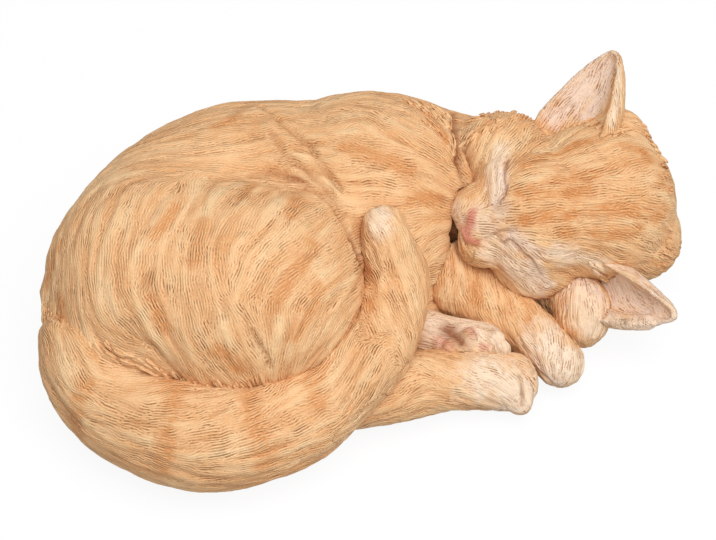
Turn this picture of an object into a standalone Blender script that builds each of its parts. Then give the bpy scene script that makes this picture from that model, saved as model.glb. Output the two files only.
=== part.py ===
# Sleeping cat ornament: a curled kitten in separately cast sections of stone resin, bonded in the
# creases of the pose, with a cover let into the underside and four felt pads below it.
# Metres, +Z up. The kitten's spine lies along +Y, its head is at +X and its nose points to -X.

import math

import bmesh
import bpy
from mathutils import Color, Matrix, Vector
from mathutils.bvhtree import BVHTree

NAME = "sleeping_cat"

# Fits between the sections
BOND = 0.0003  # glue line between two neighbouring sections
COVER_FIT = 0.0005  # gap all round the base cover

# Torso: a round barrel from the hip along the back to the nape, as places on the tabletop and radii
HIP = Vector((-0.0985, -0.012))
HIP_RADIUS = 0.0555
LOIN = Vector((-0.087, 0.025))
LOIN_RADIUS = 0.051
FLANK = Vector((-0.058, 0.045))
FLANK_RADIUS = 0.051
RIBS = Vector((-0.020, 0.047))
RIBS_RADIUS = 0.050
WITHERS = Vector((0.006, 0.049))
WITHERS_RADIUS = 0.0525
SETTLE = 0.006  # how far the soft body spreads on the tabletop
SHOULDER = Vector((0.030, 0.058, 0.045))
SHOULDER_RADIUS = 0.041
NECK = Vector((0.056, 0.066, 0.041))
NECK_RADIUS = 0.031
NAPE = Vector((0.088, 0.066, 0.042))
NAPE_RADIUS = 0.029
CHEST = Vector((0.012, 0.020, 0.040))
CHEST_RADIUS = 0.037
BREAST = Vector((0.050, 0.034, 0.020))  # under the chin
BREAST_RADIUS = 0.024

# Right thigh, the highest mass, and the knee that squares its upper corner
THIGH = Vector((-0.060, -0.022, 0.054))
THIGH_HALF = Vector((0.064, 0.057, 0.051))
HAUNCH = Vector((-0.082, -0.018, 0.051))  # fills the hollow between the thigh and the hip
HAUNCH_HALF = Vector((0.060, 0.056, 0.052))
KNEE_RADIUS = 0.036
KNEE_REACH = 0.031  # from the middle of the thigh, along the thigh
KNEE_ANGLE = math.radians(26)

# Two folds of loose skin that run from the back over the flank to the knee
FLANK_FOLDS = (
    (Vector((-0.050, 0.0615, 0.0866)), Vector((-0.0376, 0.0486, 0.0883)),
     Vector((-0.0245, 0.0326, 0.0858)), Vector((-0.0137, 0.0198, 0.0801))),
    (Vector((-0.0472, 0.0402, 0.0885)), Vector((-0.0333, 0.0274, 0.0842)),
     Vector((-0.0205, 0.0173, 0.0785)), Vector((-0.0068, 0.0019, 0.0739))),
)
FOLD_RADIUS = 0.0080

# Belly, which closes the curl at the tabletop, and the hollow of the casting
BELLY = Vector((-0.045, 0.004))
BELLY_HALF = Vector((0.090, 0.068, 0.046))
BELLY_RISE = 0.014
WALL = 0.008  # of the hollow trunk
COVER_THICKNESS = 0.003
COVER_EDGE = 0.012  # from the edge of the flat underside to the cover
LEDGE_WIDTH = 0.006  # of the shelf that carries the cover
LEDGE_THICKNESS = 0.005

# Felt pads
PAD_RADIUS = 0.008
PAD_THICKNESS = 0.002
PAD_INSET = 0.016  # from the edge of the cover to a pad's middle

# Tail: it leaves the rump, lies round the thigh and climbs over the ribs. Each turn is a direction
# from the middle of the thigh, and each slope a place on the round side of the ribs
TAIL_ROOT_TURN = math.radians(180)
TAIL_RUMP_TURN = math.radians(201)
TAIL_BASE_TURN = math.radians(222)
TAIL_MIDDLE_TURN = math.radians(259)
TAIL_HOCK_TURN = math.radians(295)
TAIL_BEND_TURN = math.radians(318)
TAIL_RISE_TURN = math.radians(337)
TAIL_OVER_SLOPE = math.radians(2)
TAIL_END_SLOPE = math.radians(18)
TAIL_TIP_SLOPE = math.radians(31)
TAIL_ROOT_RADIUS = 0.027
TAIL_BASE_RADIUS = 0.0265
TAIL_MIDDLE_RADIUS = 0.0245
TAIL_BEND_RADIUS = 0.0205
TAIL_RISE_RADIUS = 0.0185
TAIL_OVER_RADIUS = 0.0175
TAIL_END_RADIUS = 0.0140
TAIL_TIP_RADIUS = 0.0115
TAIL_NESTLE = 0.006  # how deep it presses into what it lies against
TAIL_ROOT_NESTLE = 0.014  # the same where it leaves the rump
TAIL_BEND_NESTLE = 0.010  # and where it rounds the thigh
TAIL_ROOT_HEIGHT = 0.040
TAIL_RUMP_HEIGHT = 0.038
TAIL_LIFT = 0.002  # its middle over its own radius, where it lies on the tabletop
TAIL_BEND_LIFT = 0.010
TAIL_RISE_LIFT = 0.024

# Head, turned back towards the body and rolled on to its left cheek
HEAD_RADIUS = 0.041
HEAD_AT = Vector((0.122, 0.0395))
HEAD_LIFT = 0.009  # over the tabletop, on the tucked paw
HEAD_YAW = math.radians(26)
HEAD_PITCH = math.radians(13)
HEAD_ROLL = math.radians(40)
FACE_LENGTH = 0.075  # middle of the skull to the tip of the nose
FACE_HALF = Vector((0.030, 0.033, 0.028))  # the forehead
CHEEK_SPAN = 0.046  # between the middles of the cheeks
CHEEK_HALF = Vector((0.024, 0.020, 0.022))
CHEEK_SETBACK = 0.0205  # of its middle behind the eyes
CHEEK_DROP = 0.011  # each drop is measured from the line between skull and nose, to the chin
RUFF_AT = Vector((0.038, -0.035, -0.023))  # long fur of the right cheek, pushed out by the neck
RUFF_HALF = Vector((0.027, 0.021, 0.024))
SCRUFF_AT = Vector((-0.0190, 0.0225, 0.002))  # loose skin behind the left ear
SCRUFF_RADIUS = 0.0225
CROWN_AT = Vector((-0.015, -0.030, 0.008))  # the same behind the right ear
CROWN_RADIUS = 0.015
MUZZLE_RADIUS = 0.0125
MUZZLE_SPAN = 0.018
MUZZLE_DROP = 0.009
MUZZLE_SETBACK = 0.0085  # of its middle behind the tip of the nose
BRIDGE_HALF = Vector((0.018, 0.0125, 0.012))
CHIN_RADIUS = 0.009
CHIN_DROP = 0.019
NOSE_RADIUS = 0.0052
NOSE_DROP = 0.001
EYE_SPAN = 0.039
EYE_SETBACK = 0.0175  # eyes behind the tip of the nose
EYE_RISE = 0.001
LID_RADIUS = 0.0110
SLIT_RADIUS = 0.0012  # half the width of the crease of a closed eye
SLIT_LENGTH = 0.0220
SLIT_SLANT = math.radians(54)  # across the face, back towards the outer corner
SLIT_SAG = -0.0005

# Ears: cupped shells, open to the front. Places and directions are in the frame of the head,
# which has X to the nose, Y to the kitten's left and Z to the crown
EAR_LENGTH = 0.0425
EAR_HALF_WIDTH = 0.0245
FOLDED_HALF_WIDTH = 0.0185  # of the left ear, which the paw folds in
EAR_DEPTH = 0.0205  # half the ear from front to back
EAR_WALL = 0.0032
EAR_HOLLOW_DEPTH = 0.0180  # half the hollow from front to back
EAR_HOLLOW_SHIFT = 0.0090  # from the middle of the ear to the middle of its hollow
EAR_TAPER = 0.55  # 1 is a straight-sided point, and less is rounder
EAR_STEP = 0.003
EAR_RIGHT_ROOT = Vector((0.0035, -0.038, 0.0028))
EAR_RIGHT_AXIS = Vector((-0.54, -0.79, 0.275))
EAR_RIGHT_FRONT = Vector((0.87, -0.25, 0.34))
EAR_LEFT_ROOT = Vector((0.0134, 0.0437, 0.0066))
EAR_LEFT_AXIS = Vector((-0.395, 0.46, 0.796))
EAR_LEFT_FRONT = Vector((0.783, 0.0, 0.555))

# Right foreleg, from the shoulder down to the paw
ARM_RIGHT = Vector((0.025, 0.018, 0.036))
ARM_RADIUS = 0.0235
ELBOW_RIGHT = Vector((0.045, 0.009, 0.028))
ELBOW_RADIUS = 0.0190
FOREARM_RIGHT = Vector((0.062, -0.001, 0.023))
FOREARM_RADIUS = 0.0155
WRIST_RIGHT = Vector((0.084, -0.016, 0.018))
WRIST_RADIUS = 0.0132
FOREPAW_RIGHT = Vector((0.101, -0.036, 0.0135))
FOREPAW_RADIUS = 0.0125

# Left forepaw, tucked under the cheek
ARM_LEFT = Vector((0.075, 0.022, 0.016))
FOREARM_LEFT = Vector((0.100, 0.010, 0.016))
TUCKED_ARM_RADIUS = 0.0128
KNUCKLE_LEFT = Vector((0.113, -0.003, 0.020))
FOREPAW_LEFT = Vector((0.113, -0.011, 0.017))
TUCKED_PAW_RADIUS = 0.0146

# Right hind foot, out from under the tail
HEEL_RIGHT = Vector((-0.006, -0.060, 0.019))
HOCK_RIGHT = Vector((0.020, -0.055, 0.019))
HOCK_RADIUS = 0.0170
INSTEP_RIGHT = Vector((0.045, -0.049, 0.017))
INSTEP_RADIUS = 0.0150
HIND_PAW_RIGHT = Vector((0.076, -0.049, 0.0140))
HIND_PAW_RADIUS = 0.0133
TOE_COUNT = 4
TOE_RADIUS = 0.0066
TOE_PITCH = 0.0069  # between the middles of two toes
TOE_FAN = 0.30  # how far the outer toes fall back, as a share of their place across

# Left hind foot, sole up between the other paws
HEEL_LEFT = Vector((0.020, -0.014, 0.020))
INSTEP_LEFT = Vector((0.040, -0.025, 0.018))
HIND_PAW_LEFT = Vector((0.062, -0.029, 0.018))
SOLE_RADIUS = 0.0130
PALM_PAD_AT = Vector((-0.012, -0.007))  # places along the foot and across it
PALM_PAD_RADIUS = 0.0065
INNER_PAD_AT = Vector((0.006, -0.003))
OUTER_PAD_AT = Vector((0.009, -0.010))
TOE_PAD_RADIUS = 0.0045
PAW_PAD_RISE = 0.0107  # over the middle of the paw

# Modelling grain, the size of the facets
BODY_GRAIN = 0.0030
TAIL_GRAIN = 0.0024
HEAD_GRAIN = 0.0018
PAW_GRAIN = 0.0016
EAR_GRAIN = 0.0014
RIM_GRAIN = 0.0009  # of the finished ear
HOLLOW_GRAIN = 0.0048
SLIT_STEPS = 12
DRUM_SIDES = 48
PAD_SIDES = 24

# Triangles before the seats are cut
TRUNK_TRIANGLES = 3250
HOLLOW_TRIANGLES = 500
HEAD_TRIANGLES = 1850
TAIL_TRIANGLES = 1400
LEG_TRIANGLES = 700
FOREPAW_TRIANGLES = 500
FOOT_TRIANGLES = 850
EAR_TRIANGLES = 1100

# Colours, in hex sRGB
RESIN_COLOUR = "E8B87A"
COVER_COLOUR = "5A4A3A"
FELT_COLOUR = "2E2A28"


def fresh_collection(name):
    collection = bpy.data.collections.new(name)
    bpy.context.scene.collection.children.link(collection)
    return collection


def evaluated_mesh(thing):
    bpy.context.view_layer.update()
    graph = bpy.context.evaluated_depsgraph_get()
    return bpy.data.meshes.new_from_object(thing.evaluated_get(graph))


def bake(thing):
    """Replaces an object's mesh with what its modifiers make of it."""
    mesh = evaluated_mesh(thing)
    thing.modifiers.clear()
    thing.data = mesh


def ball(clay, centre, half, turn=None):
    """Adds an ellipsoid of clay, with its three half sizes, turned by a matrix where one is given."""
    sizes = Vector((half, half, half)) if isinstance(half, float) else half
    place = Matrix.Translation(centre) @ (turn or Matrix()) @ Matrix.Diagonal((*sizes, 1))
    bmesh.ops.create_uvsphere(clay, u_segments=24, v_segments=16, radius=1, matrix=place)


def along(stations):
    """Points of a smooth curve through the stations, each a 4-vector of place and radius."""
    ends = [stations[0], *stations, stations[-1]]
    for a, b, c, d in zip(ends, ends[1:], ends[2:], ends[3:]):
        steps = max(1, math.ceil((c - b).length / (0.22 * min(b.w, c.w))))
        for step in range(steps):
            t = step / steps
            bend = (2 * a - 5 * b + 4 * c - d) * t**2 + (3 * b - a - 3 * c + d) * t**3
            yield (2 * b + (c - a) * t + bend) / 2
    yield stations[-1]


def limb(clay, stations):
    """Adds a round, tapering roll of clay through the stations."""
    for stop in along(stations):
        ball(clay, stop.xyz, stop.w)


def station(place, radius):
    return Vector((*place, radius))


def part(name, mesh):
    thing = bpy.data.objects.new(name, mesh)
    parts.objects.link(thing)
    return thing


def press(clay, name, grain, triangles, softness=4):
    """Makes one solid of the clay masses: fused, smoothed, and thinned to about that many triangles."""
    mesh = bpy.data.meshes.new(name)
    clay.to_mesh(mesh)
    clay.free()
    thing = part(name, mesh)
    refine(thing, grain, triangles, softness)
    return thing


def refine(thing, grain, triangles, softness):
    fuse = thing.modifiers.new("Fuse", "REMESH")
    fuse.mode = "VOXEL"
    fuse.voxel_size = grain
    soften = thing.modifiers.new("Soften", "SMOOTH")
    soften.iterations = softness
    bake(thing)
    thin = thing.modifiers.new("Thin", "DECIMATE")
    thin.ratio = min(1.0, triangles / (2 * len(thing.data.polygons)))
    relax = thing.modifiers.new("Relax", "SMOOTH")
    relax.factor = 0.4
    relax.iterations = 2
    thing.modifiers.new("Flat faces", "TRIANGULATE")
    bake(thing)


def make_cutter(thing):
    """Moves an object to the cutters, where it shapes others and is no section itself."""
    thing.hide_render = True
    thing.display_type = "WIRE"
    for collection in thing.users_collection:
        collection.objects.unlink(thing)
    cutters.objects.link(thing)


def cutter(name, mesh):
    tool = bpy.data.objects.new(name, mesh)
    make_cutter(tool)
    return tool


def grown(thing, amount):
    """A cutter in the shape of a section, larger by the given amount all round."""
    tool = cutter(thing.name + "_seat", thing.data.copy())
    swell = tool.modifiers.new("Swell", "DISPLACE")
    swell.strength = amount
    swell.mid_level = 0
    bake(tool)
    return tool


def cut(thing, tools):
    for tool in tools:
        away = thing.modifiers.new("Seat", "BOOLEAN")
        away.operation = "DIFFERENCE"
        away.object = tool
        bake(thing)
    keep_largest(thing)


def keep_largest(thing):
    """Drops the crumbs that a cut leaves, so that one body remains."""
    shape = bmesh.new()
    shape.from_mesh(thing.data)
    bmesh.ops.remove_doubles(shape, verts=shape.verts, dist=0.00002)
    seen = set()
    bodies = []
    for first in shape.verts:
        if first in seen:
            continue
        seen.add(first)
        body = [first]
        for vert in body:
            for edge in vert.link_edges:
                other = edge.other_vert(vert)
                if other not in seen:
                    seen.add(other)
                    body.append(other)
        bodies.append(body)
    bodies.sort(key=len)
    for body in bodies[:-1]:
        bmesh.ops.delete(shape, geom=body, context="VERTS")
    shape.to_mesh(thing.data)
    shape.free()


def drum(name, outline, low, high, sides=DRUM_SIDES):
    """An upright elliptical drum, for the cover, its recess and the pads."""
    middle, half_x, half_y = outline
    shape = bmesh.new()
    size = Matrix.Diagonal((half_x, half_y, high - low, 1))
    place = Matrix.Translation((middle.x, middle.y, (high + low) / 2)) @ size
    bmesh.ops.create_cone(
        shape, cap_ends=True, segments=sides, radius1=1, radius2=1, depth=1, matrix=place
    )
    mesh = bpy.data.meshes.new(name)
    shape.to_mesh(mesh)
    shape.free()
    return mesh


# Trunk

def torso_station(place, radius):
    return station((place.x, place.y, radius - SETTLE), radius)


def fill_trunk(clay, route, inset):
    """The masses of the trunk, each smaller by the inset."""
    limb(clay, [stop - Vector((0, 0, 0, inset)) for stop in route])
    slim = Vector((inset, inset, inset))
    ball(clay, THIGH, THIGH_HALF - slim)
    ball(clay, HAUNCH, HAUNCH_HALF - slim)
    ball(clay, knee_centre(), KNEE_RADIUS - inset)
    ball(clay, Vector((*BELLY, BELLY_RISE)), BELLY_HALF - slim)


def thigh_reach(angle, height=None):
    """How far the thigh reaches from its upright axis, in that direction and at that height."""
    x = math.cos(angle) / THIGH_HALF.x
    y = math.sin(angle) / THIGH_HALF.y
    level = 0 if height is None else (height - THIGH.z) / THIGH_HALF.z
    return math.sqrt(max(0.0, 1 - level**2) / (x * x + y * y))


def knee_centre():
    return THIGH + KNEE_REACH * Vector((math.cos(KNEE_ANGLE), math.sin(KNEE_ANGLE), 0.1))


def make_trunk():
    back = [
        torso_station(HIP, HIP_RADIUS),
        torso_station(LOIN, LOIN_RADIUS),
        torso_station(FLANK, FLANK_RADIUS),
        torso_station(RIBS, RIBS_RADIUS),
    ]
    front = [
        torso_station(WITHERS, WITHERS_RADIUS),
        station(SHOULDER, SHOULDER_RADIUS),
        station(NECK, NECK_RADIUS),
        station(NAPE, NAPE_RADIUS),
    ]
    clay = bmesh.new()
    fill_trunk(clay, back + front, 0)
    ball(clay, CHEST, CHEST_RADIUS)
    ball(clay, BREAST, BREAST_RADIUS)
    for fold in FLANK_FOLDS:
        limb(clay, [station(place, FOLD_RADIUS) for place in fold])
    trunk = press(clay, "trunk", BODY_GRAIN, TRUNK_TRIANGLES, 6)
    clay = bmesh.new()
    fill_trunk(clay, back, WALL)
    hollow = press(clay, "trunk_hollow", HOLLOW_GRAIN, HOLLOW_TRIANGLES, 3)
    make_cutter(hollow)
    return trunk, hollow


def hollow_out(trunk, hollow):
    """Empties the trunk down to a shelf, opens it below and lets the shelf in for the cover."""
    top = COVER_THICKNESS + BOND
    shelf = slab("shelf", top + LEDGE_THICKNESS)
    cut(hollow, [shelf])
    below = -COVER_THICKNESS
    recess = drum("recess", cover_outline(0), below, top)
    opening = drum("opening", cover_outline(LEDGE_WIDTH), below, top + 2 * LEDGE_THICKNESS)
    cut(trunk, [hollow, cutter("recess", recess), cutter("opening", opening)])


def cover_outline(inset):
    """Middle and half sizes of the recess in the flat underside, less the inset."""
    level = math.sqrt(1 - (BELLY_RISE / BELLY_HALF.z) ** 2)
    edge = COVER_EDGE + inset
    return BELLY, BELLY_HALF.x * level - edge, BELLY_HALF.y * level - edge


def make_cover():
    return part("base_cover", drum("base_cover", cover_outline(COVER_FIT), 0, COVER_THICKNESS))


def make_pads():
    middle, half_x, half_y = cover_outline(PAD_INSET)
    pads = []
    for depth, y in (("front", -1), ("back", 1)):
        for side, x in (("left", -1), ("right", 1)):
            name = f"pad_{depth}_{side}"
            corner = Vector((x * half_x, y * half_y)) * math.sqrt(0.5)
            outline = (middle + corner, PAD_RADIUS, PAD_RADIUS)
            shape = drum(name, outline, -BOND - PAD_THICKNESS, -BOND, PAD_SIDES)
            pads.append(part(name, shape))
    return pads


# Tail

def tail_station(turn, height, radius, nestle=TAIL_NESTLE):
    """Beside the thigh, in that direction from its middle."""
    reach = thigh_reach(turn, height) + radius - nestle
    place = THIGH.xy + reach * Vector((math.cos(turn), math.sin(turn)))
    return station((place.x, place.y, height), radius)


def tail_over(slope, radius):
    """On the side of the ribs, at that slope over the horizontal."""
    reach = WITHERS_RADIUS + radius - TAIL_NESTLE
    x = THIGH.x + THIGH_HALF.x + radius - TAIL_NESTLE / 2
    y = WITHERS.y - reach * math.cos(slope)
    z = WITHERS_RADIUS - SETTLE + reach * math.sin(slope)
    return station((x, y, z), radius)


def make_tail():
    clay = bmesh.new()
    base, middle = TAIL_BASE_RADIUS, TAIL_MIDDLE_RADIUS
    bend, rise = TAIL_BEND_RADIUS, TAIL_RISE_RADIUS
    root = 2.5 * TAIL_ROOT_NESTLE
    route = [
        tail_station(TAIL_ROOT_TURN, TAIL_ROOT_HEIGHT, TAIL_ROOT_RADIUS, root),
        tail_station(TAIL_RUMP_TURN, TAIL_RUMP_HEIGHT, TAIL_ROOT_RADIUS, TAIL_ROOT_NESTLE),
        tail_station(TAIL_BASE_TURN, base + TAIL_LIFT, base),
        tail_station(TAIL_MIDDLE_TURN, base + TAIL_LIFT, base),
        tail_station(TAIL_HOCK_TURN, middle + TAIL_LIFT, middle, TAIL_BEND_NESTLE),
        tail_station(TAIL_BEND_TURN, bend + TAIL_BEND_LIFT, bend, TAIL_BEND_NESTLE),
        tail_station(TAIL_RISE_TURN, rise + TAIL_RISE_LIFT, rise),
        tail_over(TAIL_OVER_SLOPE, TAIL_OVER_RADIUS),
        tail_over(TAIL_END_SLOPE, TAIL_END_RADIUS),
        tail_over(TAIL_TIP_SLOPE, TAIL_TIP_RADIUS),
    ]
    limb(clay, route)
    return press(clay, "tail", TAIL_GRAIN, TAIL_TRIANGLES)


# Head

def head_frame():
    """World matrix of the head: X to the nose, Y to the kitten's left, Z to the crown."""
    turn = Matrix.Rotation(math.pi + HEAD_YAW, 4, "Z") @ Matrix.Rotation(-HEAD_PITCH, 4, "Y")
    roll = Matrix.Rotation(-HEAD_ROLL, 4, "X")
    place = Vector((*HEAD_AT, HEAD_RADIUS + HEAD_LIFT))
    return Matrix.Translation(place) @ turn @ roll


def head_ball(clay, place, half):
    frame = head_frame()
    turn = frame.to_3x3().to_4x4()
    ball(clay, frame @ Vector(place), half, turn)


def crease(name, points, radius):
    """A round cutter along the points."""
    curve = bpy.data.curves.new(name, "CURVE")
    curve.dimensions = "3D"
    curve.bevel_depth = radius
    curve.bevel_resolution = 1
    curve.use_fill_caps = True
    spline = curve.splines.new("POLY")
    spline.points.add(len(points) - 1)
    for knot, point in zip(spline.points, points):
        knot.co = (*point, 1)
    drawn = bpy.data.objects.new(name, curve)
    cutters.objects.link(drawn)
    shape = bmesh.new()
    shape.from_mesh(evaluated_mesh(drawn))
    bpy.data.objects.remove(drawn)
    bmesh.ops.remove_doubles(shape, verts=shape.verts, dist=0.00001)
    mesh = bpy.data.meshes.new(name)
    shape.to_mesh(mesh)
    shape.free()
    return cutter(name, mesh)


def eye_crease(head, side):
    """The closed eye: a sagging line laid on the surface of the face."""
    frame = head_frame()
    skin = BVHTree.FromObject(head, bpy.context.evaluated_depsgraph_get())
    down = frame.to_3x3() @ Vector((0, 0, -1))
    points = []
    for step in range(SLIT_STEPS + 1):
        run = (step / SLIT_STEPS - 0.5) * SLIT_LENGTH
        sag = SLIT_SAG * (1 - (2 * run / SLIT_LENGTH) ** 2)
        forward = FACE_LENGTH - EYE_SETBACK - run * math.cos(SLIT_SLANT) + sag
        across = side * (EYE_SPAN / 2 + run * math.sin(SLIT_SLANT))
        above = frame @ Vector((forward, across, HEAD_RADIUS))
        points.append(skin.ray_cast(above, down)[0])
    return crease(head.name + "_eye", points, SLIT_RADIUS)


def make_head():
    clay = bmesh.new()
    head_ball(clay, (0, 0, 0), Vector((HEAD_RADIUS, HEAD_RADIUS, HEAD_RADIUS * 0.94)))
    eyes = FACE_LENGTH - EYE_SETBACK
    head_ball(clay, (eyes - FACE_HALF.x * 0.62, 0, 0), FACE_HALF)
    head_ball(clay, RUFF_AT, RUFF_HALF)
    head_ball(clay, SCRUFF_AT, SCRUFF_RADIUS)
    head_ball(clay, CROWN_AT, CROWN_RADIUS)
    for side in (-1, 1):
        cheek = (eyes - CHEEK_SETBACK, side * CHEEK_SPAN / 2, -CHEEK_DROP)
        head_ball(clay, cheek, CHEEK_HALF)
        head_ball(clay, (eyes - LID_RADIUS / 3, side * EYE_SPAN / 2, EYE_RISE), LID_RADIUS)
        lip = (FACE_LENGTH - MUZZLE_SETBACK, side * MUZZLE_SPAN / 2, -MUZZLE_DROP)
        head_ball(clay, lip, MUZZLE_RADIUS)
    head_ball(clay, (FACE_LENGTH - BRIDGE_HALF.x * 1.1, 0, -NOSE_DROP), BRIDGE_HALF)
    head_ball(clay, (FACE_LENGTH - CHIN_RADIUS * 1.4, 0, -CHIN_DROP), CHIN_RADIUS)
    head_ball(clay, (FACE_LENGTH - NOSE_RADIUS, 0, -NOSE_DROP), NOSE_RADIUS)
    return press(clay, "head", HEAD_GRAIN, HEAD_TRIANGLES, 7)


def make_ear(name, half_width, root, axis, front):
    """A leaf-shaped cup: a tapering body of clay less a smaller one set towards the opening."""
    frame = head_frame()
    axis = (frame.to_3x3() @ axis).normalized()
    front = frame.to_3x3() @ front
    opening = (front - axis * front.dot(axis)).normalized()
    turn = Matrix((opening.cross(axis), opening, axis)).transposed().to_4x4()
    place = Matrix.Translation(frame @ root) @ turn

    def leaf(width, depth, length, shift):
        """Flat balls that stack up to a leaf, rounded at the tip."""
        clay = bmesh.new()
        steps = math.ceil(length / EAR_STEP)
        for step in range(-4, steps):
            share = step / steps
            size = (1 - max(0.0, share)) ** EAR_TAPER
            middle = place @ Vector((0, shift * size, share * length))
            ball(clay, middle, Vector((width * size, depth * size, EAR_STEP * 1.6)), turn)
        return clay

    outer = leaf(half_width, EAR_DEPTH, EAR_LENGTH, 0)
    ear = press(outer, name, EAR_GRAIN, EAR_TRIANGLES * 2, 3)
    inside = half_width - EAR_WALL
    inner = leaf(inside, EAR_HOLLOW_DEPTH, EAR_LENGTH - EAR_WALL / 2, EAR_HOLLOW_SHIFT)
    hollow = press(inner, name + "_hollow", EAR_GRAIN, EAR_TRIANGLES, 3)
    make_cutter(hollow)
    cut(ear, [hollow])
    refine(ear, RIM_GRAIN, EAR_TRIANGLES, 9)
    return ear


# Legs and paws

def make_foreleg_right():
    clay = bmesh.new()
    route = [
        station(ARM_RIGHT, ARM_RADIUS),
        station(ELBOW_RIGHT, ELBOW_RADIUS),
        station(FOREARM_RIGHT, FOREARM_RADIUS),
        station(WRIST_RIGHT, WRIST_RADIUS),
        station(FOREPAW_RIGHT, FOREPAW_RADIUS),
    ]
    limb(clay, route)
    return press(clay, "foreleg_right", PAW_GRAIN, LEG_TRIANGLES)


def make_forepaw_left():
    clay = bmesh.new()
    route = [
        station(ARM_LEFT, TUCKED_ARM_RADIUS),
        station(FOREARM_LEFT, TUCKED_ARM_RADIUS),
        station(KNUCKLE_LEFT, TUCKED_PAW_RADIUS),
        station(FOREPAW_LEFT, TUCKED_PAW_RADIUS),
    ]
    limb(clay, route)
    return press(clay, "forepaw_left", PAW_GRAIN, FOREPAW_TRIANGLES)


def make_hind_foot_right():
    clay = bmesh.new()
    route = [
        station(HEEL_RIGHT, HOCK_RADIUS),
        station(HOCK_RIGHT, HOCK_RADIUS),
        station(INSTEP_RIGHT, INSTEP_RADIUS),
        station(HIND_PAW_RIGHT, HIND_PAW_RADIUS),
    ]
    limb(clay, route)
    for toe in range(TOE_COUNT):
        across = (toe - (TOE_COUNT - 1) / 2) * TOE_PITCH
        forward = HIND_PAW_RADIUS - TOE_RADIUS - abs(across) * TOE_FAN
        ball(clay, HIND_PAW_RIGHT + Vector((forward, across, -TOE_RADIUS / 4)), TOE_RADIUS)
    return press(clay, "hind_foot_right", PAW_GRAIN, FOOT_TRIANGLES, 3)


def make_hind_foot_left():
    clay = bmesh.new()
    route = [
        station(HEEL_LEFT, SOLE_RADIUS),
        station(INSTEP_LEFT, SOLE_RADIUS),
        station(HIND_PAW_LEFT, SOLE_RADIUS * 0.95),
    ]
    limb(clay, route)
    for place, radius in (
        (PALM_PAD_AT, PALM_PAD_RADIUS),
        (INNER_PAD_AT, TOE_PAD_RADIUS),
        (OUTER_PAD_AT, TOE_PAD_RADIUS),
    ):
        ball(clay, HIND_PAW_LEFT + Vector((*place, PAW_PAD_RISE)), radius)
    return press(clay, "hind_foot_left", PAW_GRAIN, FOOT_TRIANGLES, 3)


# Assembly

def slab(name, top):
    """A cutter that takes away everything below that height."""
    shape = bmesh.new()
    bmesh.ops.create_cube(shape, size=1, matrix=Matrix.Translation((0, 0, top - 0.5)))
    mesh = bpy.data.meshes.new(name)
    shape.to_mesh(mesh)
    shape.free()
    return cutter(name, mesh)


def paint(thing, name, colour, roughness):
    """Gives the object its own material, from a hex sRGB colour."""
    material = bpy.data.materials.new(thing.name + "_" + name)
    material.use_nodes = True
    shader = material.node_tree.nodes["Principled BSDF"]
    shades = Color(int(colour[place:place + 2], 16) / 255 for place in (0, 2, 4))
    linear = shades.from_srgb_to_scene_linear()
    shader.inputs["Base Color"].default_value = (*linear, 1)
    shader.inputs["Roughness"].default_value = roughness
    shader.inputs["Metallic"].default_value = 0
    thing.data.materials.clear()
    thing.data.materials.append(material)


def centre(things):
    """Moves everything so that the middle of the underside of its box is at the origin."""
    corners = [vert.co for thing in things for vert in thing.data.vertices]
    low = [min(corner[axis] for corner in corners) for axis in range(3)]
    high = [max(corner[axis] for corner in corners) for axis in range(3)]
    shift = Matrix.Translation((-(low[0] + high[0]) / 2, -(low[1] + high[1]) / 2, -low[2]))
    for thing in list(parts.objects) + list(cutters.objects):
        thing.data.transform(shift)


def main():
    trunk, hollow = make_trunk()
    head = make_head()
    order = [
        head, trunk, make_hind_foot_right(), make_hind_foot_left(), make_foreleg_right(),
        make_forepaw_left(),
        make_ear("ear_right", EAR_HALF_WIDTH, EAR_RIGHT_ROOT, EAR_RIGHT_AXIS, EAR_RIGHT_FRONT),
        make_ear("ear_left", FOLDED_HALF_WIDTH, EAR_LEFT_ROOT, EAR_LEFT_AXIS, EAR_LEFT_FRONT),
        make_tail(),
    ]
    tabletop = slab("tabletop", 0)
    seats = {section.name: grown(section, BOND) for section in order}
    for place, section in enumerate(order):
        cut(section, [tabletop, *(seats[earlier.name] for earlier in order[:place])])
    cut(head, [eye_crease(head, side) for side in (-1, 1)])
    hollow_out(trunk, hollow)
    cover = make_cover()
    pads = make_pads()
    for section in order:
        paint(section, "resin", RESIN_COLOUR, 0.75)
        section.data.shade_smooth()
    paint(cover, "fibreboard", COVER_COLOUR, 0.9)
    for pad in pads:
        paint(pad, "felt", FELT_COLOUR, 1.0)
    centre([*order, cover, *pads])


for thing in list(bpy.data.objects):
    bpy.data.objects.remove(thing)
parts = fresh_collection(NAME)
cutters = fresh_collection(NAME + "_cutters")
main()
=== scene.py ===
import math

import bmesh
import bpy
import numpy as np
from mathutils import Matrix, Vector
from mathutils.bvhtree import BVHTree


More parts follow.
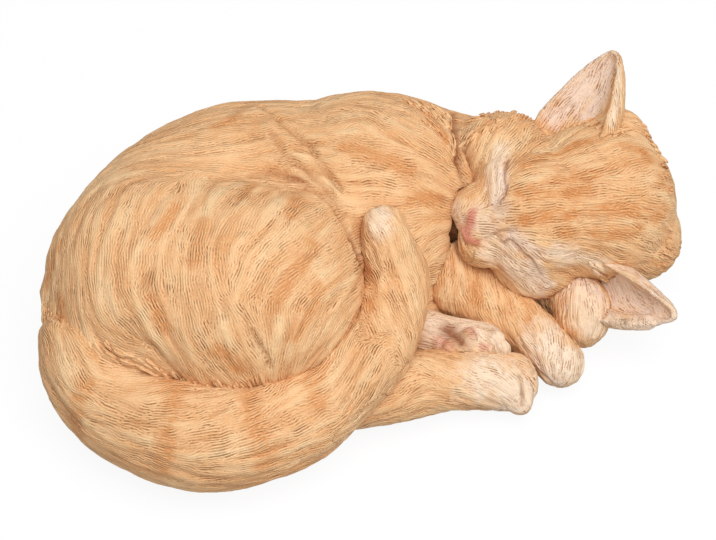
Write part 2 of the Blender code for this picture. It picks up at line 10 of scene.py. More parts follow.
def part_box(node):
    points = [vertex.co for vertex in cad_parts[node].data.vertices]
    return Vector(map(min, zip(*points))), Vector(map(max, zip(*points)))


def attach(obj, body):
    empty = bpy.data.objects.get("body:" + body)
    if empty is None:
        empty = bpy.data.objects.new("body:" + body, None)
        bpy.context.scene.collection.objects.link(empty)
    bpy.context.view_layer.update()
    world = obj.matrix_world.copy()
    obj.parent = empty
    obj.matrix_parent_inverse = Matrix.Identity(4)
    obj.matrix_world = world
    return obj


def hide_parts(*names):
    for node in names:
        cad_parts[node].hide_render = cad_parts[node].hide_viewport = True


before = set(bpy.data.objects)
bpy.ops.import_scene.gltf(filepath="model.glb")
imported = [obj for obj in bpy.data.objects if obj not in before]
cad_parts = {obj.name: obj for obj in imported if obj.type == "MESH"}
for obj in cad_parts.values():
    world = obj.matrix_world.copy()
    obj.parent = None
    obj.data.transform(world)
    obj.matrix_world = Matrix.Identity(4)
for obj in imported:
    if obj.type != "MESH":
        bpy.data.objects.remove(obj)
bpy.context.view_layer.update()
scene = bpy.context.scene


def linear(hexColour):  # sRGB hex to the linear colour a socket takes
    parts = [int(hexColour[i:i + 2], 16) / 255 for i in (1, 3, 5)]
    return tuple(c / 12.92 if c <= 0.04045 else ((c + 0.055) / 1.055) ** 2.4 for c in parts) + (1,)


# The camera of the photograph: it looks down on the kitten from the side of the paws. Strokes below are given in
# the photograph's pixels, and its sight line through each pixel finds the place on a section.
view = {"elevation": 50, "lens": 90, "sensor": 36, "distance": 0.95, "fromCover": (0.0450, 0.0320, -0.0015),
        "width": 716, "height": 540, "clip": 0.01, "reach": 0.75, "step": 0.01, "steps": 45}
coverLow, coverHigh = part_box("base_cover")
target = (coverLow + coverHigh) / 2 + Vector(view["fromCover"])
tilt = math.radians(view["elevation"])
forward = Vector((0, math.cos(tilt), -math.sin(tilt)))
upward = Vector((0, math.sin(tilt), math.cos(tilt)))
eye = target - forward * view["distance"]

lensData = bpy.data.cameras.new("photo_camera")
lensData.lens, lensData.sensor_width, lensData.clip_start = view["lens"], view["sensor"], view["clip"]
camera = bpy.data.objects.new("photo_camera", lensData)
camera.location = eye
camera.rotation_euler = (math.pi / 2 - tilt, 0, 0)
scene.collection.objects.link(camera)
scene.camera = camera


def sightLine(u, v):  # from the camera through a pixel of the photograph
    perPixel = view["sensor"] / view["lens"] / view["width"]
    side, up = (u - view["width"] / 2) * perPixel, (view["height"] / 2 - v) * perPixel
    return (forward + Vector((side, 0, 0)) + upward * up).normalized()


def onSurface(tree, u, v):  # where that line meets a section, or passes closest to it
    ray = sightLine(u, v)
    hit = tree.ray_cast(eye, ray)[0]
    if hit is not None:
        return hit
    passing = [tree.find_nearest(eye + ray * (view["reach"] + view["step"] * i)) for i in range(view["steps"])]
    return min(passing, key=lambda found: found[3])[0]


def traced(tree, strokes, spacing=0.003):  # pixel strokes to evenly spaced points on a section
    lines = []
    for stroke in strokes:
        corners = [onSurface(tree, *point) if len(point) == 2 else Vector(point) for point in stroke]
        line = [corners[0]]
        for start, end in zip(corners, corners[1:]):
            parts = max(1, round((end - start).length / spacing))
            line += [start.lerp(end, (i + 1) / parts) for i in range(parts)]
        lines.append(np.array(line))
    return lines


# Large odd numbers that scatter a grid corner and a seed into a repeatable random value
scatter = {"x": 73856093, "y": 19349663, "z": 83492791, "seed": 2654435, "first": 1274126177,
           "second": 2246822519, "bits": 0xffffffff}


def cornerValues(at, seed):  # from -1 to 1
    hashed = (at[:, 0] * scatter["x"]) ^ (at[:, 1] * scatter["y"]) ^ (at[:, 2] * scatter["z"])
    hashed = hashed ^ (seed * scatter["seed"])
    hashed = ((hashed ^ (hashed >> 13)) * scatter["first"]) & scatter["bits"]
    hashed = ((hashed ^ (hashed >> 15)) * scatter["second"]) & scatter["bits"]
    return (hashed >> 8 & 0xffff) / 32767.5 - 1


def softNoise(coords, cell, seed):  # smooth random hills, one cell wide
    scaled = coords / cell + 500  # keeps every cell's number positive
    base = np.floor(scaled).astype(np.int64)
    t = scaled - base
    t = t * t * (3 - 2 * t)
    total = np.zeros(len(coords))
    for corner in range(8):
        step = np.array([corner & 1, corner >> 1 & 1, corner >> 2 & 1])
        total += cornerValues(base + step, seed) * np.prod(np.where(step == 1, t, 1 - t), axis=1)
    return total


def combedNoise(coords, flow, cell, reach, seed, samples=9):  # the same, drawn out along the lie of the fur
    total = np.zeros(len(coords))
    for along in np.linspace(-0.5, 0.5, samples):
        total += softNoise(coords + flow * along * reach, cell, seed) * (1 - abs(along))
    return total / total.std()


def neighbourMean(values, edges, count):
    first, second = edges.T
    neighbours = np.maximum(np.bincount(edges.ravel(), minlength=count), 1)
    mean = np.empty_like(values)
    for axis, column in enumerate(values.T):
        total = np.bincount(first, column[second], count) + np.bincount(second, column[first], count)
        mean[:, axis] = total / neighbours
    return mean


def points(mesh):
    flat = np.empty(len(mesh.vertices) * 3)
    mesh.vertices.foreach_get("co", flat)
    return flat.reshape(-1, 3)


def normals(mesh):
    flat = np.empty(len(mesh.vertices) * 3, np.float32)
    mesh.vertex_normals.foreach_get("vector", flat)
    return flat.reshape(-1, 3).astype(float)


def setPoints(mesh, coords):
    mesh.vertices.foreach_set("co", coords.astype(np.float32).ravel())
    mesh.update()


def lineDistance(coords, line):  # from every point to a stroke
    best = np.full(len(coords), np.inf)
    for start, end in zip(line, line[1:]):
        run = end - start
        t = np.clip((coords - start) @ run / max(run @ run, 1e-12), 0, 1)
        best = np.minimum(best, np.linalg.norm(coords - start - t[:, None] * run, axis=1))
    return best


def searchTree(mesh):
    return BVHTree.FromPolygons([v.co for v in mesh.vertices], [p.vertices for p in mesh.polygons])


def near(coords, line, width):  # 1 on a stroke and fading out over its width
    return np.exp(-(lineDistance(coords, line) / width) ** 2)


# How a skin is evened out: a push in, a slightly larger push out, and the merging distance for its corners
evening = {"pushes": (0.6, -0.62), "merge": 1e-6}


def castSection(node, voxel, relax, swell):  # a fine skin over the plain CAD section
    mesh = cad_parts[node].data.copy()
    bm = bmesh.new()
    bm.from_mesh(mesh)
    bmesh.ops.remove_doubles(bm, verts=bm.verts, dist=evening["merge"])
    bm.to_mesh(mesh)
    bm.free()
    mesh.materials.clear()
    piece = bpy.data.objects.new(node + "_cast", mesh)
    scene.collection.objects.link(piece)
    skin = piece.modifiers.new("skin", "REMESH")
    skin.mode, skin.voxel_size = "VOXEL", voxel * 1
    bpy.context.view_layer.update()
    fine = bpy.data.meshes.new_from_object(piece.evaluated_get(bpy.context.evaluated_depsgraph_get()))
    piece.modifiers.clear()
    piece.data = fine
    coords, count = points(fine), len(fine.vertices)
    edges = np.empty(len(fine.edges) * 2, np.int32)
    fine.edges.foreach_get("vertices", edges)
    edges = edges.reshape(-1, 2)
    for turn in range(relax):  # evens out the facets without shrinking
        for push in evening["pushes"]:
            coords += (neighbourMean(coords, edges, count) - coords) * push
    setPoints(fine, coords)
    setPoints(fine, coords + normals(fine) * swell)
    fine.polygons.foreach_set("use_smooth", [True] * len(fine.polygons))
    return piece, edges


def furFlow(coords, facing, lines, blur=0.004, block=20000):  # the lie of the fur, from the nearest guide strokes
    starts = np.concatenate([line[:-1] for line in lines])
    runs = np.concatenate([line[1:] - line[:-1] for line in lines])
    runs /= np.linalg.norm(runs, axis=1)[:, None] + 1e-9
    flow = np.empty_like(coords)
    for first in range(0, len(coords), block):
        part = coords[first:first + block]
        gap = ((part[:, None] - starts[None]) ** 2).sum(2)
        flow[first:first + block] = (1 / (gap + blur ** 2) ** 2) @ runs
    flow -= facing * (flow * facing).sum(1)[:, None]
    return flow / (np.linalg.norm(flow, axis=1)[:, None] + 1e-12)


# A brushed-on band wavers and has soft, broken edges
brush = {"edge": 1.35, "waver": 0.006, "waverShare": 0.35, "hair": 0.0022, "hairShare": 0.25}


def brushed(coords, lines, half, seed):
    share = np.zeros(len(coords))
    wander = (softNoise(coords, brush["waver"], seed) * brush["waverShare"]
              + softNoise(coords, brush["hair"], seed + 1) * brush["hairShare"])
    for line in lines:
        share = np.maximum(share, np.clip(brush["edge"] - lineDistance(coords, line) / half + wander, 0, 1))
    return share


def keep(mesh, name, values):
    kind = "FLOAT_VECTOR" if values.ndim == 2 else "FLOAT"
    attribute = mesh.attributes.new(name, kind, "POINT")
    attribute.data.foreach_set("vector" if values.ndim == 2 else "value", values.astype(np.float32).ravel())


def addNode(tree, kind, inputs=None, **settings):  # one node with its settings and links
    node = tree.nodes.new(kind)
    for key, value in settings.items():
        setattr(node, key, value)
    for key, value in (inputs or {}).items():
        if isinstance(value, bpy.types.NodeSocket):
            tree.links.new(value, node.inputs[key])
        else:
            node.inputs[key].default_value = value
    return node


def mixed(tree, share, first, second):
    node = addNode(tree, "ShaderNodeMix", data_type="RGBA")
    for socket, value in zip((node.inputs[0], node.inputs[6], node.inputs[7]), (share, first, second)):
        if isinstance(value, bpy.types.NodeSocket):
            tree.links.new(value, socket)
        else:
            socket.default_value = value
    return node.outputs[2]


# Polyresin cast in a mould with the fur carved in and sprayed ginger. The groove colour is a brown wash and painted
# shade in the grooves, the ridge colour is pale dry-brushing and painted highlight on the ridges, and the shade
# colour is painted shade in creases and hollows. Resin has an IOR of about 1.5, and the paint is nearly matt.
# A share is (where it starts, where it is full, how strong it is then).
coat = {"base": "#E0AF7F", "warm": "#D49A66", "pale": "#EBC99C", "ridge": "#F6D3A2", "groove": "#9E5F30",
        "band": "#C9844C", "cream": "#EEDAC4", "skin": "#EDD7C6", "rose": "#C76E5E", "shade": "#874315",
        "strand": 0.0013, "strandCell": 0.0090, "straight": 0.97, "grain": 0.0011, "grainShare": 0.3,
        "swayCell": 0.010, "sway": 1.5, "patch": 0.020,
        "warmShare": (-0.4, 1.8, 0.75), "paleShare": (-0.4, -2.0, 0.6), "ridgeShare": (0.50, 0.68, 0.55),
        "highShare": (0.6, 2.2, 0.30), "lowShare": (-0.8, -2.4, 0.30), "grooveShare": (0.47, 0.30, 0.9),
        "patchShare": (0.25, 0.55, 1), "washAndShadeByClump": (1.6, -0.5, 1),
        "roughness": (0.80, 0.62), "bump": 0.0007, "bumpStrength": 0.9, "ior": 1.5, "specular": 0.25}


def paintedFur(name, look):
    material = bpy.data.materials.new(name)
    material.use_nodes = True
    tree = material.node_tree
    shader = tree.nodes["Principled BSDF"]
    place = addNode(tree, "ShaderNodeTexCoord").outputs["Object"]
    read = lambda key, out="Fac": addNode(tree, "ShaderNodeAttribute", attribute_name=key).outputs[out]
    noise = lambda cell, detail, out="Fac": addNode(tree, "ShaderNodeTexNoise", {
        "Vector": place, "Scale": 1 / cell, "Detail": detail}).outputs[out]
    scaled = lambda value, share: addNode(tree, "ShaderNodeMapRange", {
        "Value": value, "From Min": share[0], "From Max": share[1], "To Max": share[2]}).outputs[0]
    times = lambda a, b: addNode(tree, "ShaderNodeMath", {0: a, 1: b}, operation="MULTIPLY").outputs[0]
    # Carved strands: a grating of grooves that lies across the attribute's direction and sways
    leaning = addNode(tree, "ShaderNodeVectorMath", {0: noise(look["swayCell"], 2, "Color"), 1: (0.5, 0.5, 0.5)},
                      operation="SUBTRACT").outputs[0]
    turned = addNode(tree, "ShaderNodeVectorMath", {0: leaning, 1: (look["sway"],) * 3, 2: read("across", "Vector")},
                     operation="MULTIPLY_ADD").outputs[0]
    strands = addNode(tree, "ShaderNodeTexGabor", {
        "Vector": place, "Scale": 1 / look["strandCell"], "Frequency": look["strandCell"] / look["strand"],
        "Anisotropy": look["straight"], "Orientation": turned}, gabor_type="3D").outputs["Value"]
    rough = addNode(tree, "ShaderNodeMath", {0: noise(look["grain"], 1), 1: look["grainShare"],
                                             2: -look["grainShare"] / 2}, operation="MULTIPLY_ADD").outputs[0]
    comb = addNode(tree, "ShaderNodeMath", {0: strands, 1: rough}, operation="ADD").outputs[0]
    # Paint: the ginger coat, its bands and pale parts, then pale paint and painted highlight on the ridges, brown
    # wash and painted shade in the grooves, the pink of nose and pads, and last painted shade in creases and hollows
    streak, clump = read("streak"), read("clump")
    tone = mixed(tree, scaled(streak, look["warmShare"]), linear(look["base"]), linear(look["warm"]))
    layers = [(scaled(streak, look["paleShare"]), "pale")] + [(read(key), key) for key in ("band", "cream", "skin")]
    # Brown wash and painted shade in the carved grooves, broken up in patches and fading where clumps stand high
    groove_wash_and_shade = times(times(scaled(comb, look["grooveShare"]), scaled(noise(look["patch"], 1), look["patchShare"])),
                 scaled(clump, look["washAndShadeByClump"]))
    # Ridges and raised clumps take pale paint and painted highlight, sunken clumps and grooves take wash and painted
    # shade
    layers += [(scaled(comb, look["ridgeShare"]), "ridge"), (scaled(clump, look["highShare"]), "ridge"),
               (scaled(clump, look["lowShare"]), "groove"), (groove_wash_and_shade, "groove"), (read("rose"), "rose"),
               (read("painted_crease_shade"), "shade")]
    for share, colour in layers:
        tone = mixed(tree, share, tone, linear(look[colour]))
    tree.links.new(tone, shader.inputs["Base Color"])
    sheen = addNode(tree, "ShaderNodeMapRange", {"Value": comb, "To Min": look["roughness"][0],
                                                 "To Max": look["roughness"][1]})
    tree.links.new(sheen.outputs[0], shader.inputs["Roughness"])
    bump = addNode(tree, "ShaderNodeBump", {
        "Height": comb, "Strength": look["bumpStrength"], "Distance": look["bump"]})
    tree.links.new(bump.outputs[0], shader.inputs["Normal"])
    shader.inputs["IOR"].default_value = look["ior"]
    shader.inputs["Specular IOR Level"].default_value = look["specular"]
    return material


furCoat = paintedFur("hand_painted_cast_resin_fur", coat)


# Locks of fur that stand off the outline, each a bent and tapered tuft as it was cut in the master
lock = {"length": 0.0044, "thick": 0.0010, "bend": 0.0007, "lift": 12, "spacing": 0.0016, "stray": 0.0015,
        "seed": 4, "rooted": 0.25, "middle": 0.5, "tipBack": 0.6, "segments": 6, "sides": 7, "taper": 0.5,
        "tipGirth": 0.02, "least": 0.65, "most": 1.25}


def lockTree(look):
    tree = bpy.data.node_groups.new("fur_locks", "GeometryNodeTree")
    tree.interface.new_socket("Roots", in_out="INPUT", socket_type="NodeSocketGeometry")
    for key in ("length", "thick", "bend"):
        tree.interface.new_socket(key, in_out="INPUT", socket_type="NodeSocketFloat")
    tree.interface.new_socket("seed", in_out="INPUT", socket_type="NodeSocketInt")
    tree.interface.new_socket("Locks", in_out="OUTPUT", socket_type="NodeSocketGeometry")
    given = addNode(tree, "NodeGroupInput").outputs
    compute = lambda a, b, how: addNode(tree, "ShaderNodeMath", {0: a, 1: b}, operation=how).outputs[0]
    point = lambda **places: addNode(tree, "ShaderNodeCombineXYZ", places).outputs[0]
    length, bend = given["length"], given["bend"]
    spine = addNode(tree, "GeometryNodeCurveQuadraticBezier", {
        "Resolution": look["segments"], "Start": point(Z=compute(length, -look["rooted"], "MULTIPLY")),
        "Middle": point(X=bend, Z=compute(length, look["middle"], "MULTIPLY")),
        "End": point(X=compute(bend, -look["tipBack"], "MULTIPLY"), Z=length)}).outputs[0]
    along = addNode(tree, "GeometryNodeSplineParameter").outputs["Factor"]
    left = compute(1 + look["tipGirth"], along, "SUBTRACT")
    girth = compute(compute(left, look["taper"], "POWER"), given["thick"], "MULTIPLY")
    ring = addNode(tree, "GeometryNodeCurvePrimitiveCircle", {"Resolution": look["sides"], "Radius": 1.0}).outputs[0]
    tuft = addNode(tree, "GeometryNodeCurveToMesh", {
        "Curve": spine, "Profile Curve": ring, "Scale": girth, "Fill Caps": True}).outputs[0]
    named = lambda key: addNode(tree, "GeometryNodeInputNamedAttribute", {"Name": key},
                                data_type="FLOAT_VECTOR").outputs["Attribute"]
    turn = addNode(tree, "FunctionNodeAxesToRotation", {
        "Primary Axis": named("lean"), "Secondary Axis": named("facing")},
        primary_axis="Z", secondary_axis="X").outputs[0]
    size = addNode(tree, "FunctionNodeRandomValue", {2: look["least"], 3: look["most"], "Seed": given["seed"]},
                   data_type="FLOAT").outputs[1]
    placed = addNode(tree, "GeometryNodeInstanceOnPoints", {
        "Points": given["Roots"], "Instance": tuft, "Rotation": turn, "Scale": size}).outputs[0]
    solid = addNode(tree, "GeometryNodeRealizeInstances", {"Geometry": placed}).outputs[0]
    smooth = addNode(tree, "GeometryNodeSetShadeSmooth", {"Geometry": solid}).outputs[0]
    coated = addNode(tree, "GeometryNodeSetMaterial", {"Geometry": smooth, "Material": furCoat}).outputs[0]
    addNode(tree, "NodeGroupOutput", {"Locks": coated})
    return tree


locks = lockTree(lock)


def growLocks(name, skin, facing, flow, lines):
    nearest = searchTree(skin)
    spread = np.random.default_rng(lock["seed"])
    spots = np.concatenate(lines) + spread.normal(0, lock["stray"], (sum(map(len, lines)), 3))
    sites = [nearest.find_nearest(Vector(spot)) for spot in spots]
    under = np.array([min(skin.polygons[site[2]].vertices, key=lambda i: (skin.vertices[i].co - site[0]).length)
                      for site in sites])
    mesh = bpy.data.meshes.new(name)
    mesh.from_pydata([site[0] for site in sites], [], [])
    rise = math.radians(lock["lift"])
    keep(mesh, "lean", flow[under] * math.cos(rise) + facing[under] * math.sin(rise))
    keep(mesh, "facing", facing[under])
    keep(mesh, "across", np.cross(flow, facing)[under])
    for key in ("streak", "clump", "band", "cream", "skin"):
        values = np.empty(len(skin.vertices), np.float32)
        skin.attributes[key].data.foreach_get("value", values)
        keep(mesh, key, values[under])
    piece = bpy.data.objects.new(name, mesh)
    scene.collection.objects.link(piece)
    grow = piece.modifiers.new("grow", "NODES")
    grow.node_group = locks
    for entry in locks.interface.items_tree:
        if entry.in_out == "INPUT" and entry.name in lock:
            grow[entry.identifier] = lock[entry.name]
    bpy.context.view_layer.update()
    grown = bpy.data.meshes.new_from_object(piece.evaluated_get(bpy.context.evaluated_depsgraph_get()))
    piece.modifiers.clear()
    piece.data = grown
    return piece


# How every section is finished. Calming evens out what is drawn again finer. A fold deeper than 0 is a groove with
# painted shade in it, as strong as its last number, and one below 0 is a bulge that also wipes out the painted shade
# round it. Sizes are metres.
finish = {"calmTurns": 25, "calmPush": 0.8, "clumpReach": 7, "clumpSeed": 7, "clumpLow": -2, "clumpHigh": 1.5,
          "streakCell": 0.0042, "streakReach": 0.024, "streakSeed": 11, "bandSeed": 3, "bandHalf": 0.004,
          "patchSeed": 5, "share": 0.75, "bareEdge": 1.5, "mouthGain": 2, "mouthStart": 0.3}


def shapeSkin(coords, facing, edges, tree, shape):
    painted_crease_shade = np.zeros(len(coords))
    for stroke, width in shape.get("calm", []):
        share = near(coords, traced(tree, [stroke])[0], width)[:, None]
        for turn in range(finish["calmTurns"]):
            coords += (neighbourMean(coords, edges, len(coords)) - coords) * share * finish["calmPush"]
    # Each fold presses the skin in or out and paints shade into its crease, as strong as its last number
    for stroke, depth, width, shade in shape.get("folds", []):
        share = near(coords, traced(tree, [stroke])[0], width)
        coords -= facing * (share * depth)[:, None]
        painted_crease_shade = np.maximum(painted_crease_shade, share * shade) if shade >= 0 else painted_crease_shade * (1 - share)
    return coords, painted_crease_shade


def finishSection(node, shape):
    piece, edges = castSection(node, shape["voxel"], shape["relax"], shape["swell"])
    mesh = piece.data
    coords, painted_crease_shade = shapeSkin(points(mesh), normals(mesh), edges, searchTree(mesh), shape)
    setPoints(mesh, coords)
    facing, tree = normals(mesh), searchTree(mesh)
    flow = furFlow(coords, facing, traced(tree, shape["flow"]))
    clump = combedNoise(coords, flow, shape["clump"], shape["clump"] * finish["clumpReach"], finish["clumpSeed"])
    bare = np.zeros(len(coords))
    for stroke, width in shape.get("bare", []):
        gap = lineDistance(coords, traced(tree, [stroke])[0])
        bare = np.maximum(bare, np.clip(finish["bareEdge"] - gap / width, 0, 1))
    height = np.clip(clump, finish["clumpLow"], finish["clumpHigh"]) * shape["relief"] * (1 - bare)
    setPoints(mesh, coords + facing * height[:, None])
    keep(mesh, "streak", combedNoise(coords, flow, finish["streakCell"], finish["streakReach"], finish["streakSeed"]))
    keep(mesh, "clump", clump)
    keep(mesh, "across", np.cross(flow, facing))
    bands, half = traced(tree, shape.get("bands", [])), shape.get("bandHalf", finish["bandHalf"])
    keep(mesh, "band", brushed(coords, bands, half, finish["bandSeed"]) * shape.get("bandShare", finish["share"]))
    for key in ("cream", "rose", "skin"):
        share = np.zeros(len(coords))
        for stroke, width in shape.get(key, []):
            share = np.maximum(share, brushed(coords, traced(tree, [stroke]), width, finish["patchSeed"]))
        if key == "skin" and "mouth" in shape:  # only the inside of an ear is pink
            strength = np.clip(facing @ np.array(shape["mouth"]) * finish["mouthGain"] + finish["mouthStart"], 0, 1)
        else:
            strength = shape.get(key + "Share", finish["share"])
        keep(mesh, key, share * strength)
    # Painted shade in creases, gaps and hollows, mixed in last with the shade colour
    keep(mesh, "painted_crease_shade", painted_crease_shade)
    mesh.materials.append(furCoat)
    pieces = [piece]
    if "locks" in shape:
        pieces.append(growLocks(node + "_locks", mesh, facing, flow, traced(tree, shape["locks"], lock["spacing"])))
    for made in pieces:
        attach(made, "root")
        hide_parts(node)
    print(node, "ready:", len(mesh.vertices), "points")


# Fur that lies from the neck over the back, sweeps round the rump and down the thigh to the tail
trunk = {
    "voxel": 0.00098, "relax": 14, "swell": 0.0003, "clump": 0.0021, "relief": 0.00030,
    "flow": [
        [(510, 100), (440, 96), (360, 92), (290, 104)], [(290, 112), (220, 118), (150, 140), (100, 172), (66, 210)],
        [(330, 120), (240, 142), (180, 148), (120, 162)],
        [(340, 180), (290, 168), (230, 170), (170, 168), (110, 180)],
        [(96, 190), (76, 222), (70, 250)], [(116, 192), (100, 235), (96, 262)],
        [(138, 192), (122, 234), (117, 300)],
        [(164, 208), (152, 234), (140, 262), (137, 290)], [(196, 178), (188, 206), (178, 224)],
        [(212, 212), (202, 244), (200, 272), (200, 300)], [(236, 210), (217, 238), (214, 272), (223, 300)],
        [(284, 192), (260, 224), (236, 254), (231, 282)], [(328, 218), (298, 246), (270, 268), (250, 292)],
        [(330, 252), (298, 272), (275, 292)], [(352, 270), (318, 292), (300, 320), (288, 348)],
        [(74, 300), (76, 330), (86, 354), (106, 366), (126, 372)], [(94, 300), (102, 326), (122, 344), (148, 348)],
        [(122, 300), (138, 324), (154, 346)], [(148, 310), (162, 344), (188, 376)],
        [(183, 306), (188, 338), (214, 372), (230, 388)],
        [(214, 320), (218, 348), (236, 380)], [(242, 310), (254, 338), (271, 369)],
        [(279, 316), (277, 348), (272, 370)],
        [(342, 330), (330, 345), (310, 370)], [(56, 230), (48, 280), (46, 330), (60, 370)],
        [(360, 116), (330, 130), (300, 118)], [(430, 160), (390, 152), (340, 138)],
        [(452, 172), (420, 150), (384, 130), (350, 110)], [(458, 150), (440, 120), (420, 104)],
        [(450, 205), (420, 188), (380, 176), (345, 180)], [(448, 212), (420, 210), (398, 214)],
        [(450, 226), (432, 232), (414, 248)], [(0.09, 0.1, 0.07), (0.0, 0.11, 0.08), (-0.08, 0.1, 0.06)],
        [(0.06, 0.11, 0.03), (-0.03, 0.108, 0.03), (-0.11, 0.08, 0.03)], [(-0.13, 0.06, 0.05), (-0.155, 0.0, 0.04)],
    ],
    "folds": [
        [[(262, 106), (284, 124), (306, 140), (314, 152), (320, 162), (329, 175), (339, 189)], 0.0022, 0.0018, 0.22],
        [[(306, 140), (314, 152), (320, 162), (329, 175), (338, 188)], 0.0008, 0.0010, 0.40],
        [[(268, 122), (292, 150), (312, 166), (334, 192)], -0.0012, 0.0030, 0],
        [[(271, 134), (282, 152), (303, 169), (320, 186), (335, 201), (344, 213)], 0.0018, 0.0016, 0.22],
        [[(262, 158), (290, 170), (316, 187), (336, 208)], -0.0010, 0.0030, 0],
        [[(250, 175), (271, 173), (293, 179), (314, 190), (329, 203), (341, 218), (350, 235)], 0.0020, 0.0016, 0.35],
        [[(352, 238), (357, 252), (361, 264)], 0.0015, 0.0020, 0.7],
        [[(230, 120), (262, 140), (280, 158)], 0.0006, 0.0014, 0.1],
        [[(451, 110), (456, 130), (459, 160), (458, 196)], 0.0030, 0.0026, 0.85],
        [[(454, 204), (455, 234), (460, 251)], 0.0045, 0.0036, 0.9],
        [[(45, 296), (58, 326), (90, 345), (120, 360)], -0.0034, 0.0085, 0],
        [[(43, 314), (50, 326)], -0.0032, 0.0055, 0],
        [[(271, 369), (262, 350), (252, 332)], 0.0009, 0.0012, 0.12],
        [[(130, 322), (154, 349), (183, 380)], 0.0012, 0.0014, 0.3],
    ],
    "locks": [
        [(412, 104), (434, 110), (453, 120)], [(424, 112), (440, 120), (452, 132)],
        [(430, 124), (446, 140), (454, 156)],
        [(44, 306), (58, 322), (78, 336), (100, 348), (126, 358), (152, 366)],
        [(44, 314), (60, 328), (80, 341), (102, 352), (126, 362), (150, 370)],
        [(150, 370), (184, 379), (212, 384), (240, 386), (262, 374)],
    ],
    "bands": [
        [(316, 246), (287, 284), (276, 307)], [(319, 287), (305, 321), (296, 337)],
        [(175, 208), (165, 222), (151, 235)],
        [(202, 223), (192, 261)], [(252, 183), (246, 196)], [(58, 245), (47, 283)], [(240, 112), (220, 128)],
        [(300, 200), (290, 215)], [(345, 148), (380, 158), (410, 170)], [(410, 200), (440, 196)],
        [(150, 300), (165, 330)],
        [(432, 118), (446, 140)], [(240, 372), (228, 356), (214, 350)], [(60, 300), (62, 330)],
    ],
}

# Fur that runs from the face back over the skull
head = {
    "voxel": 0.00068, "relax": 12, "swell": 0.0003, "clump": 0.0015, "relief": 0.00022,
    "flow": [
        [(500, 152), (520, 136), (542, 116)], [(520, 180), (568, 174), (615, 164), (647, 152)],
        [(522, 192), (583, 190), (647, 188), (671, 187)], [(600, 146), (631, 139), (655, 152)],
        [(493, 190), (491, 160), (504, 136)], [(472, 192), (488, 171), (493, 148)],
        [(485, 130), (474, 155), (464, 180)],
        [(516, 188), (568, 190), (631, 186)], [(529, 221), (552, 213), (600, 213), (640, 208), (663, 214)],
        [(520, 229), (560, 230), (600, 227), (640, 224), (663, 236)],
        [(539, 249), (575, 252), (600, 256), (609, 262)],
        [(536, 256), (568, 268), (600, 280), (607, 288)], [(477, 256), (512, 275), (544, 297)],
        [(504, 243), (520, 259), (552, 284)], [(472, 256), (466, 249)], [(631, 213), (655, 227), (668, 243)],
        [(615, 252), (647, 262), (671, 272)], [(500, 216), (520, 214), (540, 214)],
        [(480, 222), (500, 220), (516, 226)],
        [(0.11, 0.09, 0.03), (0.15, 0.06, 0.04)], [(0.12, 0.10, 0.05), (0.155, 0.05, 0.05)],
    ],
    "folds": [
        [[(477, 240), (486, 238), (496, 233), (506, 229), (516, 229)], 0.0005, 0.0008, 0.35],
        [[(508, 159), (505, 171), (504, 179), (506, 186), (505, 194), (499, 202)], 0.0008, 0.0009, 0.50],
        [[(504, 243), (510, 240), (517, 246), (524, 254), (531, 260), (542, 275)], 0.0007, 0.0009, 0.45],
        [[(471, 214), (468, 232)], -0.0008, 0.0016, 0],
        [[(463, 229), (466, 239), (476, 243)], -0.0010, 0.0014, 0],
        [[(461, 231), (465, 243), (477, 246)], 0.0008, 0.0007, 0.4],
        [[(468, 132), (465, 158), (462, 188)], 0.0006, 0.0030, 0.45],
    ],
    "bands": [
        [(523, 166), (548, 155), (579, 143), (646, 154)], [(520, 193), (560, 178), (600, 172), (650, 160)],
        [(530, 196), (580, 192), (662, 182)], [(523, 220), (570, 214), (620, 210), (662, 215)],
        [(600, 236), (640, 228)], [(560, 232), (600, 236)],
    ],
    "bandHalf": 0.0036, "bandShare": 0.95,
    "cream": [[[(455, 215), (460, 225), (480, 222), (486, 232)], 0.008],
              [[(500, 150), (498, 190), (500, 212)], 0.006],
              [[(495, 250), (515, 270), (540, 292)], 0.008], [[(556, 254), (600, 266)], 0.006]],
    "skin": [[[(501, 172), (501, 190), (497, 200)], 0.0030], [[(513, 236), (524, 242), (534, 252)], 0.0050],
             [[(531, 262), (540, 272), (550, 286)], 0.0035]],
    "rose": [[[(472, 213), (469, 232)], 0.0026], [[(464, 229), (467, 239), (476, 242)], 0.0026]],
    "bare": [[[(472, 213), (469, 232)], 0.0030], [[(464, 229), (467, 239), (476, 242)], 0.0030]],
    "creamShare": 0.68,
    "calm": [[[(498, 240), (512, 244), (526, 256), (538, 276)], 0.0045],
             [[(515, 158), (510, 178), (494, 202)], 0.0045]],
    "locks": [
        [(462, 128), (480, 118), (500, 110), (520, 104), (542, 100)], [(464, 140), (490, 128), (530, 114)],
        [(643, 126), (654, 146), (663, 168), (671, 194)], [(669, 232), (666, 250), (660, 266)],
        [(560, 114), (580, 120), (594, 127)], [(594, 262), (600, 276), (600, 286)], [(608, 132), (622, 128)],
    ],
}

